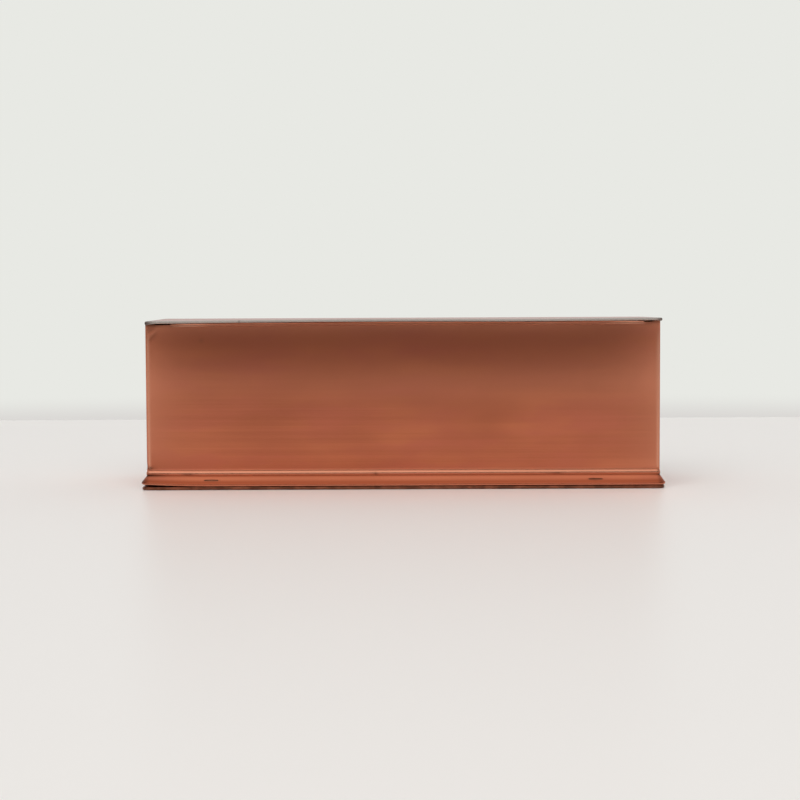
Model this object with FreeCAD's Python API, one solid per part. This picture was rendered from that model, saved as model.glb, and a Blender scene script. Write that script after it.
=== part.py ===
"""Wall mounted mailbox of folded copper sheet, 365 mm wide.

One sheet is bent into the front and both sides, with a bead and a flared lip
round its foot.  It stands on a hemmed base plate, whose two clips hook into slots
in the flare.  A back plate closes the box towards the wall, and a hemmed lid turns
on a continuous hinge along the back.

Frame, in millimetres: X to the right, Y from the front towards the wall, Z up.
The origin is at the middle of the bounding box, at its foot.
"""
import FreeCAD, Part
import math
import os

Vector = FreeCAD.Vector
UP = Vector(0, 0, 1)

# ---- driving dimensions ---------------------------------------------------------
SHEET = 0.8  # thickness of every copper sheet
WIDTH = 365.0  # outside of one side to outside of the other
DEPTH = 110.0  # front face to wall plane
HEIGHT = 121.3  # table to top of lid
CORNER = 2.0  # outside radius of the upright bends

LIP = 4.0  # how far the flared lip stands out of the front and sides
LIP_FLANGE_Z = 2.95  # middle of the flange that turns in under the lip
LIP_NOSE = 0.9  # radius of the lip's fold, at the middle of the sheet
FLARE_ANGLE = 36.0  # of the flare, from upright
GROOVE_OUT = -0.3  # middle of the sheet in the groove, from the face
BEAD_OUT = 0.15  # the same, at the crest of the bead
BEAD_HALF = 1.9  # groove to crest, and crest to face
FLANGE_REACH = 6.0  # how far the lip's flange and the base hem reach inwards

BASE_OUT = 3.4  # how far the base plate's hem stands out of the face
BASE_HEM = 0.85  # radius of its fold, at the middle of the sheet

RIM_HEM = 0.5  # radius of the fold along the box's rim
RIM_HEM_DROP = 3.0  # height of that hem
RIM_NOTCH = 15.0  # where the rim's hems stop, from each front corner
RIM_GAP = 0.1  # between the rim and the closed lid
EAR = (4.0, 0.1)  # rear ears of the sides: depth, and gap to the lid's underside

LID_OVER_FRONT = 2.2  # lid beyond the front face
LID_OVER_SIDE = 1.0  # lid beyond each side
LID_HEM = 0.55  # radius of the lid's fold
LID_HEM_REACH = 7.0

REAR_FLANGE = 12.0  # flanges of the sides that lie on the back plate
BASE_FLANGE_TOP = 16.0  # height of the base plate's flange on the back plate
BASE_FLANGE_HALF = 165.0

KNUCKLE_R = 2.2  # hinge barrel
PIN_R = 1.2
PIN_CLEARANCE = 0.05
KNUCKLE_CLEARANCE = 0.3  # barrel to the sheets of the other leaf
KNUCKLES = 17
HINGE_LENGTH = 358.0
LID_LEAF_LENGTH = 352.0  # it fits between the hems of the lid
LEAF_WIDTH = 16.0
KNUCKLE_GAP = 0.4

RIVET_R = 1.5
RIVET_HOLE_R = 1.55
RIVET_HEAD_R = 2.8
RIVET_HEAD_H = 1.1

HANG_SPACING = 254.0  # keyhole to keyhole, and screw hole to screw hole
KEYHOLE_Z = 72.0  # middle of the round entry
KEYHOLE_RISE = 14.0
KEYHOLE_ENTRY_R = 5.0
KEYHOLE_SLOT_R = 2.6
SCREW_HOLE_Z = 28.0
SCREW_HOLE_R = 2.75
KEY_PLATE = (34.0, 40.0, 1.2)  # width, height, thickness

SLOT = (10.0, 1.0)  # hook slots in the front flare: length, width
SLOT_X = 136.4
SLOT_Z = 6.6
CLIP_WIDTH = 9.2
CLIP_TAIL = 20.0  # how far a clip reaches in from the face
CLIP_RISER = 7.6  # where it rises, inside the flanges
CLIP_SHELF_Z = 4.3  # its middle where it passes over the lip's flange
CLIP_RECESS = 0.35  # its tip, below the outside of the flare
CLIP_RIVET_IN = 14.0
DRAIN_R = 1.75

# ---- places worked out from them --------------------------------------------------
HALF = WIDTH / 2
T2 = SHEET / 2
Y_WALL = (DEPTH + LIP) / 2
Y_FACE = Y_WALL - DEPTH
Y_INSIDE = Y_WALL - SHEET  # inner face of the back plate
CORNER_AXIS = Vector(HALF - CORNER, Y_FACE + CORNER, 0)
NOSE_OUT = LIP - T2 - LIP_NOSE
FLARE_FOOT = NOSE_OUT + LIP_NOSE * math.tan(math.radians((90 + FLARE_ANGLE) / 2))
GROOVE_Z = LIP_FLANGE_Z + (FLARE_FOOT - GROOVE_OUT) / math.tan(math.radians(FLARE_ANGLE))
BEAD_Z = GROOVE_Z + BEAD_HALF
BEAD_TOP = BEAD_Z + BEAD_HALF
WALL_FOOT = BEAD_TOP + 1.0

LID_OFFSET = KNUCKLE_R + KNUCKLE_CLEARANCE  # hinge axis to the lid's underside
AXIS_Z = HEIGHT - SHEET - LID_OFFSET
AXIS_Y = Y_INSIDE - LID_OFFSET
RIM_Z = HEIGHT - SHEET - 2 * LID_HEM - RIM_GAP
RIM_WALL_TOP = RIM_Z - T2 - RIM_HEM
LID_FRONT = Y_FACE - LID_OVER_FRONT
LID_HALF = HALF + LID_OVER_SIDE
BACK_TOP = AXIS_Z - 0.4
EAR_REAR = AXIS_Y - 0.2  # behind it, the lid's rear edge swings down past the sides
EAR_FRONT = EAR_REAR - EAR[0]
FLOOR_Z = 2 * BASE_HEM  # underside of the base plate's floor, on top of its hem
LEAF_RIVET_OFFSET = 9.5
LEAF_RIVET_XS = [-165, -99, -33, 33, 99, 165]
SEAM_RIVET_ZS = [32, 63, 94]
SEAM_RIVET_X = HALF - SHEET - REAR_FLANGE / 2 - 0.6
BASE_RIVET_XS = [-140, -70, 0, 70, 140]
BASE_RIVET_Z = 10.0
KEY_RIVET_OFFSET = 11.5
KEY_PLATE_Z = KEYHOLE_Z + KEYHOLE_RISE / 2


# ---- helpers ------------------------------------------------------------------------
def in_section(a, b):
    """A section point: a outwards from the face, b up."""
    return Vector(a, 0, b)


def in_plan(a, b):
    return Vector(a, b, 0)


def across_depth(a, b):
    """A section point seen from the side: a along Y, b up."""
    return Vector(0, a, b)


def bent_sheet(points, radii, place=in_section, thickness=SHEET):
    """Face of a sheet whose middle line runs through the points, with one radius per inner point."""
    half = thickness / 2
    runs = []
    for p, q in zip(points, points[1:]):
        length = math.dist(p, q)
        runs.append(((q[0] - p[0]) / length, (q[1] - p[1]) / length))

    def offset(point, run, side):
        return (point[0] - run[1] * half * side, point[1] + run[0] * half * side)

    def boundary(side):
        """Edges of one face of the sheet, as (kind, points), from first point to last."""
        edges = []
        last = offset(points[0], runs[0], side)
        for corner, radius, u, v in zip(points[1:-1], radii, runs, runs[1:]):
            turn = math.atan2(u[0] * v[1] - u[1] * v[0], u[0] * v[0] + u[1] * v[1])
            hand = 1 if turn > 0 else -1
            back = radius * math.tan(abs(turn) / 2)
            start = (corner[0] - u[0] * back, corner[1] - u[1] * back)
            end = (corner[0] + v[0] * back, corner[1] + v[1] * back)
            centre = (start[0] - u[1] * radius * hand, start[1] + u[0] * radius * hand)
            mid_x, mid_y = u[0] + v[0], u[1] + v[1]
            scale = math.hypot(mid_x, mid_y)
            reach = (radius - side * hand * half) * hand / scale
            middle = (centre[0] + mid_y * reach, centre[1] - mid_x * reach)
            arc_start = offset(start, u, side)
            arc_end = offset(end, v, side)
            edges.append((last, arc_start))
            edges.append((arc_start, middle, arc_end))
            last = arc_end
        edges.append((last, offset(points[-1], runs[-1], side)))
        return edges

    left, right = boundary(1), boundary(-1)
    outline = left + [(left[-1][-1], right[-1][-1])]
    outline += [tuple(reversed(edge)) for edge in reversed(right)]
    outline += [(right[0][0], left[0][0])]
    shapes = []
    for edge in outline:
        placed = [place(*point) for point in edge]
        if len(placed) == 3:
            shapes.append(Part.Arc(*placed).toShape())
        elif (placed[0] - placed[1]).Length > 1e-6:
            shapes.append(Part.LineSegment(*placed).toShape())
    return Part.Face(Part.Wire(shapes))


def box(low, high):
    size = high - low
    return Part.makeBox(size.x, size.y, size.z, low)


def fuse(shapes):
    first, *others = shapes
    return first.multiFuse(others).removeSplitter() if others else first


def both_sides(shape):
    return [shape, shape.mirror(Vector(), Vector(1, 0, 0))]


def round_the_box(section, corner_section, rear):
    """Sweeps a section along the right side, the front and the left side, as a list of solids."""
    at_corner = Vector(HALF, Y_FACE + CORNER, 0)
    straight = section.translated(at_corner)
    side = straight.extrude(Vector(0, rear - at_corner.y, 0))
    corner = corner_section.translated(at_corner).revolve(CORNER_AXIS, UP, -90)
    front = straight.rotated(CORNER_AXIS, UP, -90).extrude(Vector(2 * CORNER - WIDTH, 0, 0))
    return [front] + both_sides(side) + both_sides(corner)


def front_run(section, half_length):
    """A section extruded along the front face."""
    placed = section.rotated(Vector(), UP, -90).translated(Vector(half_length, Y_FACE, 0))
    return placed.extrude(Vector(-2 * half_length, 0, 0))


def side_runs(section, start, end, half=HALF):
    """A section extruded along both sides, from Y start to Y end."""
    return both_sides(section.translated(Vector(half, start, 0)).extrude(Vector(0, end - start, 0)))


def cylinder(radius, start, direction, length):
    return Part.makeCylinder(radius, length, start, direction)


def domed_rivet(head_face, direction, grip):
    """A rivet with its domed head on head_face and a shank of length grip along direction."""
    shank = cylinder(RIVET_R, head_face, direction, grip)
    dome_r = (RIVET_HEAD_R ** 2 + RIVET_HEAD_H ** 2) / (2 * RIVET_HEAD_H)
    ball = Part.makeSphere(dome_r, head_face + direction * (dome_r - RIVET_HEAD_H))
    slab = cylinder(RIVET_HEAD_R + 1, head_face, -direction, RIVET_HEAD_H + 1)
    return shank.fuse(ball.common(slab)).removeSplitter()


def rivet_holes(places, direction):
    return [cylinder(RIVET_HOLE_R, p - direction * 5, direction, 10) for p in places]


def keyhole(x, low, high):
    """The keyhole's solid outline between two Y planes: a round entry with a slot rising from it."""
    along = Vector(0, 1, 0)
    entry = cylinder(KEYHOLE_ENTRY_R, Vector(x, low, KEYHOLE_Z), along, high - low)
    seat = cylinder(KEYHOLE_SLOT_R, Vector(x, low, KEYHOLE_Z + KEYHOLE_RISE), along, high - low)
    slot = box(
        Vector(x - KEYHOLE_SLOT_R, low, KEYHOLE_Z),
        Vector(x + KEYHOLE_SLOT_R, high, KEYHOLE_Z + KEYHOLE_RISE),
    )
    return fuse([entry, seat, slot])


def export(name, shape):
    shape.exportStep(f"parts/{name}.step")
    low, high = shape.BoundBox.ZMin, shape.BoundBox.ZMax
    print(f"{name:24s} solids {len(shape.Solids)}  valid {shape.isValid()}  "
          f"volume {shape.Volume:9.1f}  z {low:.2f} to {high:.2f}")


# ---- places of the rivets -------------------------------------------------------------
def seam_places(side):
    return [Vector(side * SEAM_RIVET_X, Y_INSIDE, z) for z in SEAM_RIVET_ZS]


def base_places():
    return [Vector(x, Y_INSIDE, BASE_RIVET_Z) for x in BASE_RIVET_XS]


def leaf_back_places():
    return [Vector(x, Y_INSIDE, AXIS_Z - LEAF_RIVET_OFFSET) for x in LEAF_RIVET_XS]


def leaf_lid_places():
    return [Vector(x, AXIS_Y - LEAF_RIVET_OFFSET, HEIGHT) for x in LEAF_RIVET_XS]


def clip_places():
    floor_top = FLOOR_Z + SHEET
    return [Vector(side * SLOT_X, Y_FACE + CLIP_RIVET_IN, floor_top) for side in (-1, 1)]


def key_places(side):
    middle = side * HANG_SPACING / 2
    return [Vector(middle + dx, Y_INSIDE, KEY_PLATE_Z) for dx in (-KEY_RIVET_OFFSET, KEY_RIVET_OFFSET)]


# ---- body wrap ------------------------------------------------------------------------
def lip_section(reach):
    """Flange, lip, flare, groove and bead, up to the plain wall. reach is how far the flange goes in."""
    points = [
        (-reach, LIP_FLANGE_Z),
        (FLARE_FOOT, LIP_FLANGE_Z),
        (GROOVE_OUT, GROOVE_Z),
        (BEAD_OUT, BEAD_Z),
        (-T2, BEAD_TOP),
        (-T2, WALL_FOOT),
    ]
    return bent_sheet(points, [LIP_NOSE, 1.2, 2.2, 2.5])


def rim_hem(fold):
    """The hem along the rim, folded outwards (fold 1) or inwards (fold -1)."""
    far = -T2 + fold * 2 * RIM_HEM
    points = [
        (-T2, RIM_WALL_TOP),
        (-T2, RIM_Z - T2),
        (far, RIM_Z - T2),
        (far, RIM_Z - RIM_HEM_DROP),
    ]
    return bent_sheet(points, [RIM_HEM, RIM_HEM])


def body_wrap():
    middle_half = HALF - T2
    front_y = Y_FACE + T2
    rear_y = Y_INSIDE - T2
    flange_x = HALF - SHEET - REAR_FLANGE
    plan = [
        (flange_x, rear_y),
        (middle_half, rear_y),
        (middle_half, front_y),
        (-middle_half, front_y),
        (-middle_half, rear_y),
        (-flange_x, rear_y),
    ]
    bend = CORNER - T2
    wall = bent_sheet(plan, [bend] * 4, in_plan)
    wall = wall.translated(Vector(0, 0, WALL_FOOT)).extrude(UP * (RIM_WALL_TOP - WALL_FOOT))
    foot = round_the_box(lip_section(FLANGE_REACH), lip_section(CORNER - 0.05), Y_INSIDE)
    hems = [front_run(rim_hem(1), HALF - RIM_NOTCH)]
    hems += side_runs(rim_hem(-1), Y_FACE + RIM_NOTCH, EAR_FRONT - 0.6)
    ear = box(
        Vector(HALF - SHEET, EAR_FRONT, BACK_TOP),
        Vector(HALF, EAR_REAR, HEIGHT - SHEET - EAR[1]),
    )
    wrap = fuse([wall] + foot + hems + both_sides(ear))
    leaf_bottom = AXIS_Z - LEAF_WIDTH
    flange_relief = box(
        Vector(flange_x - 1, Y_WALL - 6, leaf_bottom - 0.5),
        Vector(HALF - CORNER, Y_WALL, RIM_Z + 1),
    )
    lid_relief = box(
        Vector(HALF - CORNER - 0.1, EAR_REAR, BACK_TOP),
        Vector(HALF + 1, Y_WALL, RIM_Z + 1),
    )
    cuts = both_sides(flange_relief) + both_sides(lid_relief) + both_sides(hook_slot())
    for side in (-1, 1):
        cuts += rivet_holes(seam_places(side), Vector(0, 1, 0))
    return wrap.cut(cuts)


def flare_out(z):
    """How far the middle of the flare's sheet stands out of the face at height z."""
    return FLARE_FOOT - (z - LIP_FLANGE_Z) * math.tan(math.radians(FLARE_ANGLE))


def hook_slot():
    """Cutter for the slot in the right half of the front flare, square to its surface."""
    length, width = SLOT
    depth = 4.0
    along = Vector(0, 1, 0)
    straight = length - width
    cutter = [Part.makeBox(straight, depth, width, Vector(-straight / 2, -depth / 2, -width / 2))]
    for x in (-straight / 2, straight / 2):
        cutter.append(cylinder(width / 2, Vector(x, -depth / 2, 0), along, depth))
    cutter = fuse(cutter)
    cutter.rotate(Vector(), Vector(1, 0, 0), -FLARE_ANGLE)
    cutter.translate(Vector(SLOT_X, Y_FACE - flare_out(SLOT_Z), SLOT_Z))
    return cutter


# ---- base plate -----------------------------------------------------------------------
def base_hem(reach):
    outer = BASE_OUT - T2
    top = FLOOR_Z + T2
    points = [(-reach, T2), (outer, T2), (outer, top), (-reach, top)]
    return bent_sheet(points, [BASE_HEM, BASE_HEM])


def base_plate():
    rear = Y_INSIDE - 0.1
    flange_start = rear - 12
    hem = round_the_box(base_hem(FLANGE_REACH), base_hem(CORNER - 0.05), rear)
    floor = box(
        Vector(CORNER - HALF, Y_FACE + CORNER, FLOOR_Z),
        Vector(HALF - CORNER, flange_start, FLOOR_Z + SHEET),
    )
    rear_corner = box(
        Vector(BASE_FLANGE_HALF, flange_start, FLOOR_Z),
        Vector(HALF - CORNER, rear, FLOOR_Z + SHEET),
    )
    middle = FLOOR_Z + T2
    upstand = bent_sheet(
        [(flange_start, middle), (Y_INSIDE - T2, middle), (Y_INSIDE - T2, BASE_FLANGE_TOP)],
        [1.2],
        across_depth,
    )
    upstand = upstand.translated(Vector(-BASE_FLANGE_HALF, 0, 0))
    upstand = upstand.extrude(Vector(2 * BASE_FLANGE_HALF, 0, 0))
    plate = fuse(hem + [floor, upstand] + both_sides(rear_corner))
    drains = [
        cylinder(DRAIN_R, Vector(x, y, 0), UP, 4)
        for x in (-HALF + 22, 0, HALF - 22)
        for y in (Y_FACE + 22, flange_start - 12)
    ]
    holes = rivet_holes(base_places(), Vector(0, 1, 0)) + rivet_holes(clip_places(), UP)
    return plate.cut(drains + holes)


def front_clip(side):
    """Strip on the base plate that rises over the lip's flange and hooks into the flare's slot."""
    angle = math.radians(FLARE_ANGLE)
    out = flare_out(SLOT_Z)
    tip = T2 - CLIP_RECESS
    back = (SLOT_Z - CLIP_SHELF_Z) / math.sin(angle)
    on_floor = FLOOR_Z + SHEET + T2
    section = bent_sheet(
        [
            (-CLIP_TAIL, on_floor),
            (-CLIP_RISER, on_floor),
            (-CLIP_RISER, CLIP_SHELF_Z),
            (out - back * math.cos(angle), CLIP_SHELF_Z),
            (out + tip * math.cos(angle), SLOT_Z + tip * math.sin(angle)),
        ],
        [0.6, 0.6, 1.2],
    )
    strip = front_run(section, CLIP_WIDTH / 2).translated(Vector(side * SLOT_X, 0, 0))
    return strip.cut(rivet_holes(clip_places(), UP))


# ---- back plate and its keyhole plates ---------------------------------------------------
def back_plate():
    plate = box(Vector(-HALF, Y_INSIDE, 0.3), Vector(HALF, Y_WALL, BACK_TOP))
    upright_depth = [
        e for e in plate.Edges
        if abs(e.tangentAt(e.FirstParameter).y) > 0.99
    ]
    plate = plate.makeFillet(3.0, upright_depth)
    places = base_places() + leaf_back_places()
    for side in (-1, 1):
        places += seam_places(side) + key_places(side)
    holes = rivet_holes(places, Vector(0, 1, 0))
    for side in (-1, 1):
        middle = side * HANG_SPACING / 2
        holes.append(keyhole(middle, Y_INSIDE - 1, Y_WALL + 1))
        start = Vector(middle, Y_INSIDE - 1, SCREW_HOLE_Z)
        holes.append(cylinder(SCREW_HOLE_R, start, Vector(0, 1, 0), SHEET + 2))
    return plate.cut(holes)


def keyhole_plate(side):
    width, height, thick = KEY_PLATE
    middle = side * HANG_SPACING / 2
    plate = box(
        Vector(middle - width / 2, Y_INSIDE - thick, KEY_PLATE_Z - height / 2),
        Vector(middle + width / 2, Y_INSIDE, KEY_PLATE_Z + height / 2),
    )
    along_y = [e for e in plate.Edges if abs(e.tangentAt(e.FirstParameter).y) > 0.99]
    plate = plate.makeFillet(4.0, along_y)
    holes = rivet_holes(key_places(side), Vector(0, 1, 0))
    return plate.cut(holes + [keyhole(middle, Y_INSIDE - thick - 1, Y_WALL)])


# ---- lid and hinge ----------------------------------------------------------------------
def lid_panel():
    middle_z = HEIGHT - T2
    hem = bent_sheet(
        [
            (-LID_HEM_REACH - 1, middle_z),
            (-T2, middle_z),
            (-T2, middle_z - 2 * LID_HEM),
            (-LID_HEM_REACH, middle_z - 2 * LID_HEM),
        ],
        [LID_HEM, LID_HEM],
    )
    nose = LID_HEM + T2
    panel = box(
        Vector(nose - LID_HALF, LID_FRONT + nose, HEIGHT - SHEET),
        Vector(LID_HALF - nose, AXIS_Y, HEIGHT),
    )
    front = front_run(hem, LID_HALF - 2.2).translated(Vector(0, LID_FRONT - Y_FACE, 0))
    sides = side_runs(hem, LID_FRONT + 0.4, AXIS_Y - 5, LID_HALF)
    panel = fuse([panel, front] + sides)
    rear_clip = box(
        Vector(LID_HALF - nose - 0.01, AXIS_Y - 5, HEIGHT - 3),
        Vector(LID_HALF + 1, AXIS_Y + 1, HEIGHT + 1),
    )
    return panel.cut(both_sides(rear_clip) + rivet_holes(leaf_lid_places(), UP))


def knuckles(first):
    """Barrel pieces of one leaf: every second knuckle from the first, as (start, end) in X."""
    pitch = HINGE_LENGTH / KNUCKLES
    left = -HINGE_LENGTH / 2
    return [
        (left + i * pitch + KNUCKLE_GAP / 2, left + (i + 1) * pitch - KNUCKLE_GAP / 2)
        for i in range(first, KNUCKLES, 2)
    ]


def hinge_leaf(first, length):
    """A leaf hanging down from the barrel, with its mounting face towards the wall."""
    back = AXIS_Y + LID_OFFSET
    front = back - SHEET
    root = AXIS_Z - KNUCKLE_R - KNUCKLE_GAP
    half = length / 2
    leaf = [box(Vector(-half, front, AXIS_Z - LEAF_WIDTH), Vector(half, back, root))]
    for start, end in knuckles(first):
        leaf.append(cylinder(KNUCKLE_R, Vector(start, AXIS_Y, AXIS_Z), Vector(1, 0, 0), end - start))
        leaf.append(box(Vector(start, AXIS_Y + 1.2, root), Vector(end, back, AXIS_Z)))
    bore_start = Vector(-HINGE_LENGTH / 2 - 1, AXIS_Y, AXIS_Z)
    bore = cylinder(PIN_R + PIN_CLEARANCE, bore_start, Vector(1, 0, 0), HINGE_LENGTH + 2)
    return fuse(leaf).cut([bore] + rivet_holes(leaf_back_places(), Vector(0, 1, 0)))


def turned_to_lid(shape):
    """Turns a piece of the back leaf about the hinge axis into its place under the lid."""
    return shape.rotated(Vector(0, AXIS_Y, AXIS_Z), Vector(1, 0, 0), 90).mirror(
        Vector(0, AXIS_Y, AXIS_Z), Vector(0, 1, 0)
    )


def hinge_pin():
    half = HINGE_LENGTH / 2 + 0.4
    head = 0.8
    pin = cylinder(PIN_R, Vector(-half, AXIS_Y, AXIS_Z), Vector(1, 0, 0), 2 * half)
    heads = [
        cylinder(PIN_R + 0.5, Vector(x, AXIS_Y, AXIS_Z), Vector(1, 0, 0), head)
        for x in (-half - head, half)
    ]
    return fuse([pin] + heads)


# ---- rivets -----------------------------------------------------------------------------
def rivets(places, head_gap, direction, grip):
    """Domed rivets whose heads sit head_gap in front of each place, set flush at the far end."""
    return Part.makeCompound([domed_rivet(p - direction * head_gap, direction, grip) for p in places])


def pieces():
    """Every node's name and shape."""
    to_wall = Vector(0, 1, 0)
    grip = 2 * SHEET
    key_thick = KEY_PLATE[2]
    shapes = {
        "body_wrap": body_wrap(),
        "base_plate": base_plate(),
        "back_plate": back_plate(),
        "lid_panel": lid_panel(),
        "hinge_back_leaf": hinge_leaf(0, HINGE_LENGTH),
        "hinge_lid_leaf": turned_to_lid(hinge_leaf(1, LID_LEAF_LENGTH)),
        "hinge_pin": hinge_pin(),
        "hinge_back_rivets": rivets(leaf_back_places(), SHEET, to_wall, grip),
        "hinge_lid_rivets": rivets(leaf_lid_places(), grip, UP, grip),
        "base_seam_rivets": rivets(base_places(), SHEET, to_wall, grip),
        "front_clip_rivets": rivets(clip_places(), SHEET, -UP, grip),
    }
    for side, name in ((-1, "left"), (1, "right")):
        shapes[f"front_clip_{name}"] = front_clip(side)
        shapes[f"side_seam_rivets_{name}"] = rivets(seam_places(side), SHEET, to_wall, grip)
        shapes[f"keyhole_plate_{name}"] = keyhole_plate(side)
        shapes[f"keyhole_rivets_{name}"] = rivets(
            key_places(side), key_thick, to_wall, key_thick + SHEET
        )
    return shapes


def main():
    os.makedirs("parts", exist_ok=True)
    for name, shape in pieces().items():
        export(name, shape)


main()
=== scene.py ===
"""Looks of the wall mounted copper mailbox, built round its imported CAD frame."""
import math

import bmesh
import bpy
from mathutils import Matrix, Vector, noise


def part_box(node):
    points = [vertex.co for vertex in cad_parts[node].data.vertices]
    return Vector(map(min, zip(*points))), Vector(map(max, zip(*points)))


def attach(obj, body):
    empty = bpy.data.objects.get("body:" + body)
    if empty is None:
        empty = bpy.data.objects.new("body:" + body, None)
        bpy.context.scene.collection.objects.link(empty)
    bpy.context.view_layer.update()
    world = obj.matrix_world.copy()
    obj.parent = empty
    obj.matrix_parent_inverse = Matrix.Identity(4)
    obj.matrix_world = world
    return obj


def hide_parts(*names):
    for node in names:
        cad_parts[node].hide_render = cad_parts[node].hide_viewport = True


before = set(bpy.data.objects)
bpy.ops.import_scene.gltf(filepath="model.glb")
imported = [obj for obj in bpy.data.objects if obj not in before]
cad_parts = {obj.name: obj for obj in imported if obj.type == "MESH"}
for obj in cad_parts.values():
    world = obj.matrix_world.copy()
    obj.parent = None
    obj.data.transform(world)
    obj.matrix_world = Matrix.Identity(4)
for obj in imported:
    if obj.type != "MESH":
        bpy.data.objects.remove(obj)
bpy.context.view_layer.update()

MM = 0.001

# ---- sizes, in metres --------------------------------------------------------------
WRAP_LOW, WRAP_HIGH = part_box("body_wrap")
LID_LOW, LID_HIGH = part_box("lid_panel")
LEAF_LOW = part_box("hinge_back_leaf")[0]
PIN_LOW, PIN_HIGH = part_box("hinge_pin")
SHEET = 0.8 * MM
T2 = SHEET / 2  # from the sheet's middle to either face
LIP = 4.0 * MM  # how far the foot's lip stands out from the walls
HALF = WRAP_HIGH.x - LIP
FACE_Y = WRAP_LOW.y + LIP
REAR_Y = WRAP_HIGH.y
CORNER = 2.0 * MM  # radius of the upright bends

# the sides' top edge near the hinge, and the flanges that they turn in along the back
EAR_TOP = WRAP_HIGH.z
EAR_REAR = (PIN_LOW.y + PIN_HIGH.y) / 2 - 0.2 * MM
EAR_FRONT = EAR_REAR - 4.0 * MM
BACK_TOP = (PIN_LOW.z + PIN_HIGH.z) / 2 - 0.4 * MM
FLANGE_TOP = LEAF_LOW.z - 0.5 * MM
REAR_FLANGE = 12.0 * MM

# the foot, from its turned-in flange up
FLANGE_REACH = 6.0 * MM
MITRE = CORNER - 0.05 * MM  # how far the flange turns in at a corner, where it is mitred
LIP_FLANGE_Z = WRAP_LOW.z + T2
LIP_NOSE = 0.9 * MM
FLARE_ANGLE = math.radians(36)
FLARE_FOOT = LIP - T2 - LIP_NOSE + LIP_NOSE * math.tan((math.pi / 2 + FLARE_ANGLE) / 2)
GROOVE_OUT = -0.3 * MM
GROOVE_Z = LIP_FLANGE_Z + (FLARE_FOOT - GROOVE_OUT) / math.tan(FLARE_ANGLE)
BEAD_OUT = 0.15 * MM
BEAD_HALF = 1.9 * MM
BEAD_Z = GROOVE_Z + BEAD_HALF
BEAD_TOP = BEAD_Z + BEAD_HALF
WALL_FOOT = BEAD_TOP + 1.0 * MM
FOOT_RADII = [LIP_NOSE, 1.2 * MM, 2.2 * MM, 2.5 * MM]  # at lip, groove, bead and bead's top

# the hook slots in the front flare
SLOT_X = 136.4 * MM
SLOT_Z = 6.6 * MM
SLOT_HALF = 5.0 * MM
SLOT_RISE = 0.405 * MM
SLOT_BLUNT = 0.6  # share of the height over which a slot has its full length
SLOT_CUT = 0.3 * MM  # how much shorter each end is above and below that

# the rim's folded hem
RIM_Z = EAR_TOP - 1.1 * MM
RIM_HEM = 0.5 * MM
RIM_HEM_DROP = 2.3 * MM
RIM_WALL_TOP = RIM_Z - T2 - RIM_HEM
HEM_STOP_LEFT = 17.0 * MM  # where the front rim's hem stops, from each corner
HEM_STOP_RIGHT = 11.0 * MM
SIDE_HEM_STOP = 15.0 * MM
HEM_LIFT = 0.15 * MM  # how much higher the fold stands than the wall under it

# the lid
LID_HEM = 0.55 * MM
LID_HEM_REACH = 7.0 * MM
LID_FLAT_REAR = 16.0 * MM  # rear strip of the lid that lies on its hinge leaf
LID_SIDE_STOP = 5.0 * MM  # where the hems of its sides stop, from the rear
LID_BELOW_RIVETS = 0.03 * MM  # the rivets' flush ends show above its top
LID_CORNER = 1e-7  # radius of its front corners on plan, inside the nose of its edge
NOSE_STEPS = 8

# spacing of the meshes' points: steps, finer steps near the ends, and how far those reach
WRAP_STEPS = (3.2 * MM, 0.9 * MM, 9 * MM)
WALL_STEPS = (4 * MM, 1.2 * MM, 10 * MM)
LID_STEPS = (6 * MM, 1.5 * MM, 9 * MM)
FOOT_STEP = 1.2 * MM
HEM_STEP = 1.0 * MM
REAR_TURNS = 7  # steps round each rear bend

# places of single marks
DOT_X = -142.5 * MM  # a small dark spot on the face
DOT_Z = 106.1 * MM
DOT_HALF = 0.7 * MM
GROOVE_MARK_X = -19.5 * MM  # a small dark mark in the groove
LID_MARK_X = -115.6 * MM  # a small dark mark on the lid's edge
LID_MARK_HALF = 0.6 * MM
CREASE_TOP = Vector((-175 * MM, 113.2 * MM))  # x and z, near the face's top left corner
CREASE_RUN = Vector((-5.2, -6.4)).normalized()
CREASE_LINE_X = -176.8 * MM  # middle of the painted highlight line beside it
CREASE_LINE_Z = 111 * MM
CREASE_LEAN = 0.82
LOW_DENT_Z = 16.8 * MM  # on the left bend


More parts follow.
